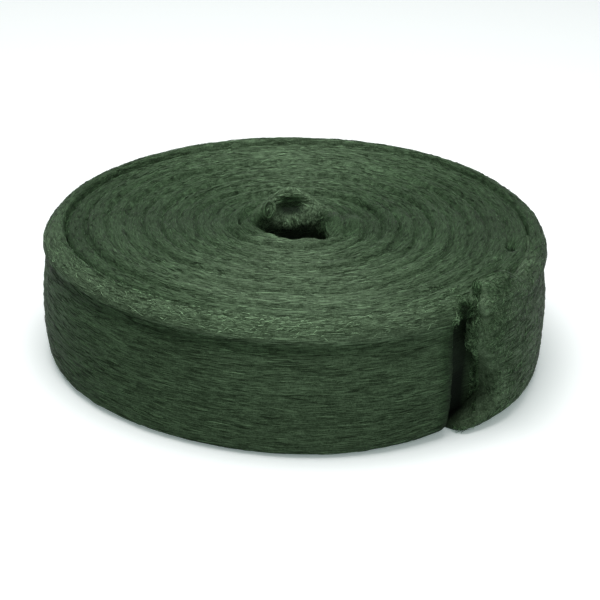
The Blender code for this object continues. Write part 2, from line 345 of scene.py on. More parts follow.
def near_azimuth(angle, middle, spread):
    """1 at a place's azimuth, falling off to both sides."""
    off = (np.degrees(angle) - middle + 180.0) % 360.0 - 180.0
    return np.exp(-((off / spread) ** 2))


def top_height(turn):
    """Height of the ribbon's upper edge."""
    angle = azimuth(turn)
    slow, phase, second, fast = TURN_HEIGHT_WAVES
    uneven = np.sin(slow * turn + phase) + second * np.sin(angle + fast * turn)
    peak = PEAK_RISE * smooth_step(turn, *PEAK_TURNS) * near_azimuth(angle, *PEAK_PLACE)
    hump = LOOSE_RISE * rise_and_fall(turn, LOOSE_RISE_LENGTHS)
    return RIBBON_WIDTH + TURN_HEIGHT_STEP * uneven + hump + peak


def value_noise(seed, around, across, cells):
    """Smooth seeded noise from -1 to 1. It repeats round the roll after so many cells."""
    grid = np.random.default_rng(seed).uniform(-1.0, 1.0, (cells, NOISE_ROWS))
    a, b = np.asarray(around) * cells, np.asarray(across)
    ia, ib = np.floor(a).astype(int), np.floor(b).astype(int)
    fa, fb = a - ia, b - ib
    fa, fb = fa * fa * (3.0 - 2.0 * fa), fb * fb * (3.0 - 2.0 * fb)
    ia0, ia1, ib0, ib1 = ia % cells, (ia + 1) % cells, ib % NOISE_ROWS, (ib + 1) % NOISE_ROWS
    low = grid[ia0, ib0] * (1.0 - fa) + grid[ia1, ib0] * fa
    high = grid[ia0, ib1] * (1.0 - fa) + grid[ia1, ib1] * fa
    return low * (1.0 - fb) + high * fb


def layered_noise(layers, around, across):
    return sum(value_noise(seed, around, across / size, cells) * height for seed, cells, size, height in layers)


def groove_depth(turn):
    """Depth of the groove at a turn's outer face: shallow in places, deep in others."""
    uneven = layered_noise(GROOVE_NOISE, turn / TURNS, 0.0 * turn)
    left = near_azimuth(azimuth(turn), *LEFT_GROOVE_PLACE) * (1.0 - smooth_step(turn, *LEFT_GROOVE_TURNS))
    return GROOVE_DEPTH + uneven + LEFT_GROOVE_DEPTH * left


def groove_height(turn):
    return np.minimum(top_height(turn - 1.0), top_height(turn)) - groove_depth(turn)


def foot_round(turn):
    """Rounding of the lower edge: larger at the front right, where the wool is worn and soft."""
    front = near_azimuth(azimuth(turn), *FRONT_FOOT_PLACE)
    return OUTER_TURN_FOOT_ROUND + (FRONT_FOOT_ROUND - OUTER_TURN_FOOT_ROUND) * front


def brim(turn):
    """How far the wool reaches out over the top of the seat, beside the loose end's tip."""
    near, far = (1.0 + turns_in(length) for length in BRIM_LENGTHS)
    return np.where(turn < 1.5, BRIM_SHARE * seat(turn) * (1.0 - smooth_step(turn, near, far)), 0.0)


def outer_face(radius, turn, top):
    """Radii and heights of the free outer face, from the foot up to the top's shoulder."""
    foot, shoulder = foot_round(turn), OUTER_TURN_TOP_ROUND
    angle = azimuth(turn)
    drop = CREASE_DROP + waves(angle, CREASE_WAVES)
    crease = top - shoulder - drop
    left = near_azimuth(angle, *LEFT_LIP_PLACE)
    lip_depth = 0.5 * (LIP_OVERHANG + (LEFT_LIP_OVERHANG - LIP_OVERHANG) * left)
    radii, heights = [], []
    for share in np.linspace(0.0, 1.0, FOOT_POINTS):
        turned = share * 0.5 * math.pi
        radii.append(radius - foot * (1.0 - math.sin(turned)))
        heights.append(foot * (1.0 - math.cos(turned)) + 0.0 * top)
    for share in np.linspace(0.0, 1.0, WALL_POINTS)[1:]:
        radii.append(radius + WALL_BULGE * math.sin(math.pi * share**0.8) - lip_depth * share**6)
        heights.append(foot + (crease - foot) * share)
    for share in np.linspace(0.0, 1.0, CREASE_POINTS)[1:]:
        radii.append(radius + lip_depth * (2.0 * smooth_step(share, 0.0, 1.0) - 1.0))
        heights.append(crease + drop * share)
    for share in np.linspace(0.0, 1.0, SHOULDER_POINTS)[1:]:
        turned = share * 0.5 * math.pi
        radii.append(radius + lip_depth * (1.0 - share) - shoulder * (1.0 - math.cos(turned)))
        heights.append(top - shoulder * (1.0 - math.sin(turned)))
    radii, heights = np.stack(radii, -1), np.stack(heights, -1)
    below_top = np.asarray(top)[..., None] - heights
    return radii + brim(turn)[..., None] * (1.0 - smooth_step(below_top, *BRIM_DEPTHS)), heights


def turn_top(turn):
    """The upper face of one turn, from its outer groove or shoulder inwards to its inner groove."""
    open_share = uncovered(turn)
    start = face_radius(turn) + brim(turn) - OUTER_TURN_TOP_ROUND * open_share
    width = start - face_radius(turn + 1.0)
    top = top_height(turn)
    outer_groove = (groove_height(turn) - top) * (1.0 - open_share)
    inner_groove = groove_height(turn + 1.0) - top
    radii, heights = [], []
    for share in np.linspace(0.0, 1.0, TURN_POINTS + 1):
        out = np.exp(-((share * width / GROOVE_WIDTH) ** 2))
        into = np.exp(-(((1.0 - share) * width / GROOVE_WIDTH) ** 2))
        crown = TURN_CROWN * (4.0 * share * (1.0 - share) - 1.0)
        radii.append(start - width * share)
        heights.append(top + outer_groove * out + inner_groove * into + crown * (1.0 - out) * (1.0 - into))
    return np.stack(radii, -1), np.stack(heights, -1)


def turn_foot(turn):
    """The lower face of one turn, from its inner groove outwards."""
    inner, outer = face_radius(turn + 1.0), face_radius(turn)
    edge = outer - foot_round(turn) * uncovered(turn)
    radii = [inner, inner + FOOT_GROOVE_WIDTH, edge - FOOT_GROOVE_WIDTH * (1.0 - uncovered(turn))]
    return np.stack(radii, -1), np.stack([FOOT_GROOVE_DEPTH + 0.0 * turn, 0.0 * turn, 0.0 * turn], -1)


def blend(low, high, share):
    """The (radii, heights) pair at a share of the way from low to high."""
    share = np.asarray(share)[..., None]
    return tuple(a + (b - a) * share for a, b in zip(low, high))


def columns(section, start, end):
    """Part of a section: the radii and heights of some of its points."""
    return tuple(values[:, start:end] for values in section)


def roll_sections(place):
    """Radii and heights of the section through all the turns, at places 0 to 1 round the roll."""
    landing = turns_in(LOOSE_LENGTH)
    grown = smooth_step(place, LANDING[0] * landing, LANDING[1] * landing)
    thinned = smooth_step(place, 1.0 - CORE_END_LENGTH / (math.tau * CORE_RADIUS), 1.0)
    feet = [turn_foot(place + k) for k in reversed(range(TURNS))]
    tops = [turn_top(place + k) for k in range(TURNS)]
    below = outer_face(face_radius(place + 1.0), place + 1.0, top_height(place + 1.0))
    face = blend(below, outer_face(face_radius(place), place, top_height(place)), grown)
    feet[-1] = blend(columns(below, 0, 1), columns(feet[-1], 0, 2), grown)
    tops[0] = blend(columns(below, -1, None), columns(tops[0], 1, None), grown)
    feet[0] = blend(feet[0], columns(feet[1], 0, 1), thinned)
    tops[-1] = blend(tops[-1], columns(tops[-2], -1, None), thinned)
    share = np.linspace(0.0, 1.0, CORE_POINTS + 2)[1:-1] ** CORE_CROWDING
    ends = zip(columns(tops[-1], -1, None), columns(feet[0], 0, 1))
    radii, heights = (upper * (1.0 - share) + lower * share for upper, lower in ends)
    core = (radii + CORE_HOLLOW * np.sin(math.pi * share), heights)
    return tuple(np.concatenate(values, -1) for values in zip(*feet, face, *tops, core))


def torn_edge(height):
    """How far back along the ribbon the tear at the loose end lies, at a height."""
    heights, depths = zip(*TEAR_LINE)
    return np.interp(height, heights, depths) + layered_noise(TEAR_NOISE, 0.3 + 0.0 * height, height)


def placed(turn, radius, height):
    """Points in the roll of a section's radii and heights at each turn."""
    angle = azimuth(turn)
    return np.stack([radius * np.cos(angle), radius * np.sin(angle), height], -1)


def grid_faces(rows, columns):
    """Quads of a grid of points that is closed round its columns."""
    r, c = np.meshgrid(np.arange(rows - 1), np.arange(columns), indexing="ij")
    after = (c + 1) % columns
    low, high = r * columns, (r + 1) * columns
    return np.stack([low + c, low + after, high + after, high + c], -1).reshape(-1, 4)


def grid_map(points):
    """Where each quad's corners lie on the map: along the winding and across it. The foot gets less room."""
    along = np.linalg.norm(np.diff(points, axis=0), axis=2).mean(1)
    across = np.linalg.norm(np.roll(points, -1, axis=1) - points, axis=2).mean(0)
    across = across * np.where(points[..., 2].mean(0) < FOOT_HEIGHT, FOOT_SHARE, 1.0)
    u = np.concatenate([[0.0], np.cumsum(along)]) / along.sum()
    v = np.concatenate([[0.0], np.cumsum(across)]) / across.sum()
    r, c = np.meshgrid(np.arange(len(along)), np.arange(len(across)), indexing="ij")
    corners = ((r, c), (r, c + 1), (r + 1, c + 1), (r + 1, c))
    return np.stack([np.stack([u[a], v[b]], -1) for a, b in corners], 2)


def welded_mesh(name, points):
    """A mesh of a grid of points, with the points that meet welded."""
    mesh = bpy.data.meshes.new(name)
    mesh.from_pydata(points.reshape(-1, 3).tolist(), [], grid_faces(*points.shape[:2]).tolist())
    mesh.uv_layers.new(name=MAP_NAME).uv.foreach_set("vector", grid_map(points).ravel())
    body = bmesh.new()
    body.from_mesh(mesh)
    bmesh.ops.remove_doubles(body, verts=body.verts, dist=WELD_DISTANCE)
    bmesh.ops.dissolve_degenerate(body, edges=body.edges, dist=0.5 * WELD_DISTANCE)
    bmesh.ops.recalc_face_normals(body, faces=body.faces)
    body.to_mesh(mesh)
    body.free()
    return mesh


def outline_middle():
    """The middle of the roll's outline, where the part's source puts the origin."""
    turn = np.linspace(0.0, 1.0, 1500)
    radius = face_radius(turn) + WALL_BULGE + LOOSE_SWELL * rise_and_fall(turn, LOOSE_SWELL_LENGTHS)
    points = placed(turn, radius, 0.0 * turn)
    return 0.5 * (points.min(0) + points.max(0))


def surface_noise(points):
    """How far the wool stands out of its plain form at each point: streaks, waves and lumps."""
    x, y, z = points.T
    radius = np.hypot(x, y)
    around = (np.arctan2(y, x) / math.tau) % 1.0
    side = np.where(z > 0.5 * RIBBON_WIDTH, -1.0, 1.0)
    across = (RIBBON_WIDTH - z) + side * (OUTER_RADIUS - radius) + 1.0
    near_core = 1.0 - smooth_step(radius, *ROUGH_CORE_RADII)
    near_tip = near_azimuth(math.tau * around, *ROUGH_TIP_PLACE) * smooth_step(radius, *ROUGH_TIP_RADII)
    rough = (near_core + ROUGH_TIP_SHARE * near_tip) * layered_noise(ROUGH_NOISE, around, across)
    return (layered_noise(SURFACE_NOISE, around, across) + rough) * smooth_step(z, *SMOOTH_FOOT_HEIGHTS)


def pushed(points):
    """The points after the soft wool has been pushed in places."""
    moved = points.copy()
    for place, reach, push in SOFT_PUSHES:
        near = np.exp(-(((points - place) / reach) ** 2).sum(1))
        moved += near[:, None] * push
    return moved


def displaced(mesh):
    """Moves each point of the mesh along its normal by the surface noise, and then by the soft pushes."""
    count = len(mesh.vertices)
    points, normals = np.empty(count * 3), np.empty(count * 3)
    mesh.vertices.foreach_get("co", points)
    mesh.vertex_normals.foreach_get("vector", normals)
    points, normals = points.reshape(-1, 3), normals.reshape(-1, 3)
    points = points + normals * surface_noise(points)[:, None]
    points = pushed(points - outline_middle() * (1.0, 1.0, 0.0))
    points[:, 2] = np.maximum(points[:, 2], 0.0)
    mesh.vertices.foreach_set("co", points.ravel())
    mesh.update()


def by_math(operation, swapped=False):
    """A method that joins a term and another value by a Math node."""

    def joined(term, other):
        values = (other, term) if swapped else (term, other)
        return term.shader.term("ShaderNodeMath", {"operation": operation}, *values)

    return joined


class Term:
    """The output of a node, usable in sums and products. Each step adds its own Math node."""

    def __init__(self, shader, socket):
        self.shader = shader
        self.socket = socket

    def math(self, operation, *others):
        return self.shader.term("ShaderNodeMath", {"operation": operation}, self, *others)

    def ramp(self, start, end, low=0.0, high=1.0):
        """Low up to the start, high from the end on, and an even slope between them."""
        return self.shader.term("ShaderNodeMapRange", {}, self, start, end, low, high)

    __add__ = __radd__ = by_math("ADD")
    __sub__, __rsub__ = by_math("SUBTRACT"), by_math("SUBTRACT", swapped=True)
    __mul__ = __rmul__ = by_math("MULTIPLY")
    __truediv__ = by_math("DIVIDE")


class Shader:
    """A material's node tree, built up from expressions."""

    def __init__(self, name):
        self.material = bpy.data.materials.new(name)
        self.material.use_nodes = True
        self.tree = self.material.node_tree
        self.surface = self.tree.nodes["Principled BSDF"]

    @classmethod
    def on_tree(cls, tree):
        """A shader for nodes on a tree that is there already, such as the world's."""
        shader = cls.__new__(cls)
        shader.tree = tree
        return shader

    def node(self, kind, settings, *values, **named):
        """A node of one kind, with its settings made first and then its sockets' values or links."""
        node = self.tree.nodes.new(kind)
        for key, value in settings.items():
            setattr(node, key, value)
        for socket, value in list(enumerate(values)) + [(k.replace("_", " "), v) for k, v in named.items()]:
            self.feed(node.inputs[socket], value)
        return node

    def feed(self, socket, value):
        if isinstance(value, Term):
            self.tree.links.new(value.socket, socket)
        else:
            socket.default_value = value

    def term(self, kind, settings, *values, output=0, **named):
        return Term(self, self.node(kind, settings, *values, **named).outputs[output])

    def mix(self, share, first, second):
        """A colour between two others."""
        node = self.node("ShaderNodeMix", {"data_type": "RGBA"})
        for socket, value in ((0, share), (6, first), (7, second)):
            self.feed(node.inputs[socket], value)
        return Term(self, node.outputs[2])

    def set(self, **sockets):
        for name, value in sockets.items():
            self.feed(self.surface.inputs[name.replace("_", " ")], value)


class WoolShader(Shader):
    """A shader on the roll, with the place in the roll as terms."""

    def __init__(self, name):
        super().__init__(name)
        self.place = self.term("ShaderNodeTexCoord", {}, output="Object")
        parts = self.node("ShaderNodeSeparateXYZ", {}, self.place)
        self.x, self.y, self.z = (Term(self, parts.outputs[i]) for i in range(3))
        self.radius = (self.x * self.x + self.y * self.y).math("SQRT") + 0.0001
        tip = math.radians(LOOSE_END_AZIMUTH - 1.0)
        self.before_tip = self.x * math.sin(tip) - self.y * math.cos(tip)

    def zone(self, ranges):
        """1 where all the ranges are full, and 0 where one of them hasn't started."""
        share = 1.0
        for name, start, full in ranges:
            value = getattr(self, name)
            share = (value.math("GREATER_THAN", start) if start == full else value.ramp(start, full)) * share
        return share

    def noise(self, vector, detail, roughness, scale=1.0, distortion=0.0):
        sockets = dict(Vector=vector, Scale=scale, Detail=detail, Roughness=roughness, Distortion=distortion)
        return self.term("ShaderNodeTexNoise", {}, **sockets)

    def wound_noise(self, along, across, detail, roughness):
        """Noise drawn out along the winding: along and across are its cells' sizes in metres."""
        scale = 0.5 * OUTER_RADIUS / along
        upper = self.z.math("GREATER_THAN", 0.5 * RIBBON_WIDTH) * 2.0 - 1.0
        down = (self.radius * upper - self.z) / across
        east, north = self.x / self.radius * scale, self.y / self.radius * scale
        return self.noise(self.term("ShaderNodeCombineXYZ", {}, east, north, down), detail, roughness)

    def void_shade_share(self):
        """1 where the voids are painted in shade, and 0 outside them."""
        share = 0.0
        for strength, ranges in VOID_SHADES:
            share = (self.zone(ranges) * strength).math("MAXIMUM", share)
        return share

    def pit_shade(self):
        """How dark the painted shade in the small pits is: 0 away from them."""
        dark = 0.0
        for place, half_sizes, share in PIT_SHADES:
            sides = zip((self.x, self.y, self.z), place, half_sizes)
            offs = [(term - middle) / half_size for term, middle, half_size in sides]
            dark = sum(off * off for off in offs).ramp(*PIT_SHADE_EDGE) * share + dark
        return dark

    def painted_light_and_shade(self):
        """How pale the wool is painted for light and shade: a painted sheen, paler at the front and back, a
        painted highlight on the crest, and painted shade down the wall, in the crease, in pits and in recesses.
        """
        east, north = self.x / self.radius, self.y / self.radius
        sideways = east * east - north * north
        swing, lean, drop = WALL_LIGHT_AND_SHADE
        tone = TOP_TONE - sideways * SHEEN_SWING + east * LIGHT_LEAN[0] + north * LIGHT_LEAN[1]
        tone = tone + self.zone(WALL) * (sideways * swing + east * lean - drop)
        for change, ranges in ADDED_LIGHT_AND_SHADE:
            tone = tone + self.zone(ranges) * change
        tone = tone * (1.0 - self.pit_shade())
        for change, ranges in SCALED_LIGHT_AND_SHADE:
            tone = tone * (self.zone(ranges) * change + 1.0)
        return tone

    def toned(self, colour, tone):
        """The colour at a tone. Pale wool is greyer, a painted grey sheen, and dark wool is greener."""
        greyed = tone * tone.ramp(*SHEEN_GREYING)
        scale = self.term("ShaderNodeCombineXYZ", {}, greyed, tone, greyed)
        return self.term("ShaderNodeVectorMath", {"operation": "MULTIPLY"}, colour, scale)


def wool_material(name, settings, fuzz=0.48, paler=1.0, blotches=0.0):
    """Oily steel wool: streaks along the winding, painted shade in the hollows, a painted highlight on the
    crest and fine fuzz.
    """
    shader = WoolShader(name)
    broad = shader.wound_noise(*BROAD_STREAKS)
    tangle = shader.noise(shader.place, *GRAIN) * 0.5 + shader.noise(shader.place, *TANGLE) * 0.5
    fine = shader.wound_noise(*STREAKS) * (1.0 - fuzz) + tangle * fuzz
    tone = fine * (FINE_SHARE - blotches) + broad * BROAD_SHARE + shader.wound_noise(*PATCHES) * PATCH_SHARE
    if blotches:
        tone = tone + shader.noise(shader.place, *CLOUDS) * blotches
    share = tone.ramp(*TONE_RANGE).math("POWER", TONE_POWER)
    colour = shader.mix(share, (*settings.dark_colour, 1.0), (*settings.light_colour, 1.0))
    colour = shader.toned(colour, shader.painted_light_and_shade() * paler)
    height = fine * BUMP_SHARES[0] + broad * BUMP_SHARES[1]
    shader.set(
        # The voids are painted in shade
        Base_Color=shader.mix(shader.void_shade_share(), colour, (*VOID_SHADE_COLOUR, 1.0)),
        Metallic=settings.metallic,
        Roughness=settings.roughness + (0.5 - fine) * ROUGHNESS_SWING,
        Specular_IOR_Level=settings.specular,
        Normal=shader.term("ShaderNodeBump", {}, Strength=1.0, Distance=BUMP_DEPTH, Height=height),
    )
    return shader.material


def fibre_material(name, settings, tone):
    """Single fibres of steel wool, each of its own tone, under the wool's painted light and shade, with the
    palest painted brighter as glints.
    """
    shader = WoolShader(name)
    island = shader.term("ShaderNodeNewGeometry", {}, output="Random Per Island")
    share = island * FIBRE_SHARES[0] + shader.wound_noise(*PATCHES) * FIBRE_SHARES[1]
    dark = [tone * part for part in settings.dark_colour]
    light = [tone * settings.glint * part for part in settings.light_colour]
    colour = shader.mix(share.math("POWER", FIBRE_POWER), (*dark, 1.0), (*light, 1.0))
    shader.set(
        Base_Color=shader.toned(colour, shader.painted_light_and_shade()),
        Metallic=settings.fibre_metallic,
        Roughness=settings.fibre_roughness,
        Specular_IOR_Level=settings.specular,
    )
    return shader.material


def surface_tree(names):
    """A search tree of the faces of the pieces that fibres are laid on."""
    body = bmesh.new()
    for name in names:
        body.from_mesh(bpy.data.objects[name].data)
    tree = BVHTree.FromBMesh(body)
    body.free()
    return tree


def cast(tree, origins, directions):
    """Where rays meet the surface, its normals there, and which rays met it."""
    count = len(origins)
    points, normals, met = np.zeros((count, 3)), np.zeros((count, 3)), np.zeros(count, bool)
    for i, (origin, direction) in enumerate(zip(origins.tolist(), directions.tolist())):
        place, normal, *_ = tree.ray_cast(origin, direction)
        if place is not None:
            points[i], normals[i], met[i] = place, normal, True
    facing = np.einsum("ij,ij->i", normals, directions)
    normals[facing > 0.0] *= -1.0
    return points, normals, met


def fibre_lines(rng, count, length, spread, curl):
    """Lines of fibres in a plane: steps along the winding and across it, one row a fibre."""
    step = length[:, None] / (FIBRE_POINTS - 1)
    share = np.linspace(-0.5, 0.5, FIBRE_POINTS)
    heading = rng.normal(0.0, 1.0, (count, 1)) * spread
    heading = heading + rng.normal(0.0, 1.0, (count, 1)) * curl * share
    along = np.cumsum(step * np.cos(heading), 1)
    across = np.cumsum(step * np.sin(heading), 1)
    return along - along.mean(1, keepdims=True), across - across.mean(1, keepdims=True)


def cell_map(count, corners):
    """Where the corners of each fibre's faces lie on the map: every fibre has a cell of its own."""
    columns = math.ceil(math.sqrt(count))
    cells = np.stack([np.arange(count) % columns, np.arange(count) // columns], -1)[:, None, None]
    return (cells + CELL_MARGIN + (1.0 - 2.0 * CELL_MARGIN) * np.array(corners)) / columns


def fibre_mesh(name, points, normals, width, lift):
    """Closed three-sided tubes with pointed ends, one along each line of points."""
    count = len(points)
    share = np.linspace(0.0, 1.0, FIBRE_POINTS)
    arch = np.sin(math.pi * share)[None, :, None]
    centre = points + normals * (lift[:, None, None] * arch - FIBRE_ROOT)
    centre[..., 2] = np.maximum(centre[..., 2], 0.5 * LOWEST_FIBRE)
    tangent = np.gradient(centre, axis=1)
    tangent /= np.linalg.norm(tangent, axis=2, keepdims=True) + 1e-12
    sideways = np.cross(normals, tangent)
    sideways /= np.linalg.norm(sideways, axis=2, keepdims=True) + 1e-12
    half = 0.5 * width[:, None, None] * arch**0.4
    rings = []
    for angle in (0.5 * math.pi, 0.5 * math.pi + math.tau / 3.0, 0.5 * math.pi - math.tau / 3.0):
        rings.append(centre + half * (normals * math.sin(angle) + sideways * math.cos(angle)))
    inner = np.stack(rings, 2)[:, 1:-1].reshape(count, -1, 3)
    vertices = np.concatenate([centre[:, :1], inner, centre[:, -1:]], 1)
    each = vertices.shape[1]
    quads, ends, quad_corners, end_corners = [], [], [], []
    last = 1 + 3 * (FIBRE_POINTS - 3)
    for side in range(3):
        after = (side + 1) % 3
        ends += [(0, 1 + after, 1 + side), (last + side, last + after, each - 1)]
        end_corners += [((0.0, 0.5), (share[1], 1.0), (share[1], 0.0))]
        end_corners += [((share[-2], 0.0), (share[-2], 1.0), (1.0, 0.5))]
        for ring in range(FIBRE_POINTS - 3):
            low, high = 1 + 3 * ring, 4 + 3 * ring
            start, end = share[ring + 1], share[ring + 2]
            quads.append((low + side, low + after, high + after, high + side))
            quad_corners.append(((start, 0.0), (start, 1.0), (end, 1.0), (end, 0.0)))
    starts = (np.arange(count) * each)[:, None, None]
    mesh = bpy.data.meshes.new(name)
    quads, ends = (np.array(quads) + starts).reshape(-1, 4), (np.array(ends) + starts).reshape(-1, 3)
    mesh.from_pydata(vertices.reshape(-1, 3).tolist(), [], quads.tolist() + ends.tolist())
    layout = np.concatenate([cell_map(count, quad_corners).ravel(), cell_map(count, end_corners).ravel()])
    mesh.uv_layers.new(name=MAP_NAME).uv.foreach_set("vector", layout)
    return mesh


def kept_fibres(points, met, length):
    """Fibres that lie on the surface along their whole length, not over a step, and not in the void."""
    steps = np.linalg.norm(np.diff(points, axis=1), axis=2)
    radius = np.hypot(points[..., 0], points[..., 1])
    turned = np.degrees(np.arctan2(points[..., 1], points[..., 0])) - LOOSE_END_AZIMUTH
    void = (np.abs(turned + 1.0) < 7.0) & (radius > VOID_RADII[0]) & (radius < VOID_RADII[1])
    void = void & (points[..., 2] < 0.088)
    return met.all(1) & ~void.any(1) & (steps.max(1) < STRETCH_LIMIT * length / (FIBRE_POINTS - 1))


def level_directions(angle):
    """Level directions at an angle: outwards, and to the left of that."""
    flat = 0.0 * angle
    out = np.stack([np.cos(angle), np.sin(angle), flat], -1)
    return out, np.stack([-np.sin(angle), np.cos(angle), flat], -1)


def raised(level):
    return np.stack([0.0 * level, 0.0 * level, level], -1)


def lines_from_above(rng, angle, radius, length, spread, curl):
    along, across = fibre_lines(rng, len(angle), length, spread, curl)
    around = angle[:, None] + along / radius[:, None]
    reach = radius[:, None] + across
    origins = np.stack([reach * np.cos(around), reach * np.sin(around), np.full_like(reach, 0.3)], -1)
    return origins, np.broadcast_to((0.0, 0.0, -1.0), origins.shape)


def lines_from_outside(rng, angle, height, tilt, length, spread, curl):
    """Lines found by rays that come from outside, tilted down."""
    along, across = fibre_lines(rng, len(angle), length, spread, curl)
    level = np.clip(height[:, None] + across, LOWEST_FIBRE, None)
    out, _ = level_directions(angle[:, None] + along / OUTER_RADIUS)
    towards = -out * math.cos(tilt) - np.array((0.0, 0.0, math.sin(tilt)))
    return out * OUTER_RADIUS + raised(level) - towards * 0.1, towards


def lines_from_core(rng, angle, height, length, spread, curl):
    along, across = fibre_lines(rng, len(angle), length, spread, curl)
    out, _ = level_directions(angle[:, None] + along / CORE_RADIUS)
    return raised(np.clip(height[:, None] + across, LOWEST_FIBRE, None)), out


def top_fibres(rng, count, *shape):
    inner, outer = CORE_RADIUS - 0.004, OUTER_RADIUS + 0.004
    radius = np.sqrt(rng.uniform(inner**2, outer**2, count))
    return lines_from_above(rng, rng.uniform(0.0, math.tau, count), radius, *shape)


def crest_fibres(rng, count, *shape):
    """Lines on the crest at the front left."""
    angle = np.radians(rng.normal(*CREST_PLACE, count))
    return lines_from_above(rng, angle, rng.uniform(*CREST_RADII, count), *shape)


def wall_fibres(rng, count, *shape):
    angle = rng.uniform(0.0, math.tau, count)
    return lines_from_outside(rng, angle, rng.uniform(*WALL_HEIGHTS, count), 0.0, *shape)


def loose_fibres(rng, count, *shape):
    """Lines on the loose end, most of them near its tip."""
    turned = rng.uniform(*LOOSE_TURNED, count) * rng.uniform(0.1, 1.0, count)
    height = rng.uniform(*LOOSE_HEIGHTS, count)
    angle = np.radians(LOOSE_END_AZIMUTH + turned)
    return lines_from_outside(rng, angle, height, math.radians(LOOSE_TILT), *shape)


def tip_fibres(rng, count, *shape):
    """Lines on the rounded front of the loose end, found from the front and above."""
    height = rng.uniform(*TIP_HEIGHTS, count)
    sideways = rng.uniform(*TIP_SIDEWAYS, count)
    along, across = fibre_lines(rng, count, *shape)
    out, beside = level_directions(math.radians(LOOSE_END_AZIMUTH - 24.0))
    tip, _ = level_directions(math.radians(LOOSE_END_AZIMUTH))
    aims = OUTER_RADIUS * tip + raised(height[:, None] + across)
    aims = aims + (sideways[:, None] + along)[..., None] * beside
    towards = -0.9 * out - np.array((0.0, 0.0, 0.44))
    return aims - 0.1 * towards, np.broadcast_to(towards, aims.shape)


def torn_fibres(rng, count, *shape):
    """Lines on the torn face of the loose end, found from beside it."""
    height = rng.uniform(*TORN_HEIGHTS, count)
    inwards = rng.uniform(*TORN_DEPTHS, count)
    along, across = fibre_lines(rng, count, *shape)
    out, beside = level_directions(math.radians(LOOSE_END_AZIMUTH + 2.0))
    reach = OUTER_RADIUS - 0.006 - inwards[:, None] + along
    aims = reach[..., None] * out + raised(np.clip(height[:, None] + across, LOWEST_FIBRE, None))
    towards = 0.8 * beside - 0.6 * out
    return aims - 0.05 * towards, np.broadcast_to(towards, aims.shape)


def core_fibres(rng, count, *shape):
    angle = rng.uniform(0.0, math.tau, count)
    return lines_from_core(rng, angle, rng.uniform(*CORE_HEIGHTS, count), *shape)


def tuft_fibres(rng, count, *shape):
    """Clumps of lines on the upper part of the core's wall."""
    clump = rng.integers(0, TUFT_CLUMPS, count)
    turned, raise_by = TUFT_SPREADS
    angle = np.radians(rng.uniform(*TUFT_AZIMUTHS, TUFT_CLUMPS)[clump] + rng.normal(0.0, turned, count))
    height = rng.uniform(*TUFT_HEIGHTS, TUFT_CLUMPS)[clump] + rng.normal(0.0, raise_by, count)
    return lines_from_core(rng, angle, height, *shape)


def peak_fibres(rng, count, *shape):
    """Lines along the raised rim at the back of the core."""
    angle = np.radians(rng.normal(*RIM_PLACE, count))
    return lines_from_core(rng, angle, rng.uniform(*RIM_HEIGHTS, count), *shape)


# How fibres are: mean length, width, lift, spread of their headings and curl
TOP = (0.0095, 0.00034, 0.00022, 0.11, 0.55)
CREST = (0.005, 0.00034, 0.0004, 0.25, 0.8)
SIDE = (0.017, 0.00034, 0.00022, 0.055, 0.28)
BORE = (0.012, 0.00026, 0.0008, 0.5, 1.2)
TUFT = (0.0042, 0.00032, 0.0011, 1.5, 3.5)
PEAK = (0.013, 0.00036, 0.0006, 0.2, 0.6)
LOOSE = (0.0042, 0.00022, 0.00035, 1.5, 2.2)
TORN = (0.005, 0.0003, 0.001, 1.5, 3.5)

# The pieces of fibres: name, lines, seed, count, tone and how the fibres are. The crest's paler fibres are
# painted glints, and the peak's paler fibres a painted highlight along the raised rim
FIBRE_PIECES = (
    ("crest_fibres", crest_fibres, 111, 2200, 1.4, CREST),
    ("top_fibres_a", top_fibres, 101, 9500, 1.0, TOP),
    ("top_fibres_b", top_fibres, 102, 9500, 0.8, TOP),
    ("wall_fibres_a", wall_fibres, 103, 7500, 1.0, SIDE),
    ("wall_fibres_b", wall_fibres, 104, 7000, 0.8, SIDE),
    ("core_fibres", core_fibres, 105, 900, 0.9, BORE),
    ("core_tufts", tuft_fibres, 106, 2000, 1.1, TUFT),
    ("peak_fibres", peak_fibres, 109, 350, 1.6, PEAK),
    ("loose_fibres", loose_fibres, 107, 5200, 1.5, LOOSE),
    ("tip_fibres", tip_fibres, 112, 2400, 1.5, LOOSE),
    ("torn_fibres", torn_fibres, 108, 5600, 1.7, TORN),
)


def fibre_piece(tree, settings, name, lines, seed, count, tone, shape):
    length, width, lift, spread, curl = shape
    rng = np.random.default_rng(seed)
    lengths = length * rng.uniform(0.5, 1.5, count)
    origins, directions = lines(rng, count, lengths, spread, curl)
    points, normals, met = cast(tree, origins.reshape(-1, 3), directions.reshape(-1, 3))
    points, normals = points.reshape(-1, FIBRE_POINTS, 3), normals.reshape(-1, FIBRE_POINTS, 3)
    kept = kept_fibres(points, met.reshape(-1, FIBRE_POINTS), lengths)
    widths = width * rng.uniform(0.6, 1.3, count)
    lifts = lift * np.exp(0.6 * np.clip(rng.normal(0.0, 1.0, count), -3.0, 2.0))
    mesh = fibre_mesh(name, points[kept], normals[kept], widths[kept], lifts[kept])
    finish_piece(mesh, fibre_material(name + "_wool", settings, tone))


